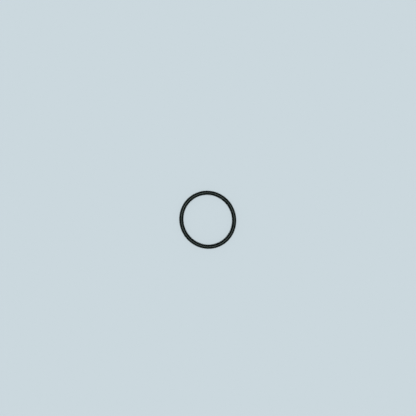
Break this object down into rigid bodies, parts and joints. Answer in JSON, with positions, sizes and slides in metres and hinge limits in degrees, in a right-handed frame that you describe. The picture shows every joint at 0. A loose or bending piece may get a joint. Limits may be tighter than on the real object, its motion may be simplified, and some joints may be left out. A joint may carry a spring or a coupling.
{
  "type": "o-ring",
  "caption": "Black rubber o-ring with a solid round section. It seals a shaft, bore or flange when squeezed in a groove, and lies limp and slightly oval.",
  "frame": {"origin": "middle of the ring, half way up its section", "axes": "+Z along the ring's own axis, +X along the long way of the slightly oval ring as it lies, +Y along its short way"},
  "size_m": [0.0438, 0.0424, 0.003],
  "materials": {
    "black_rubber": "satin, as moulded"
  },
  "bodies": {
    "root": {"o_ring": "black_rubber"}
  },
  "joints": []
}
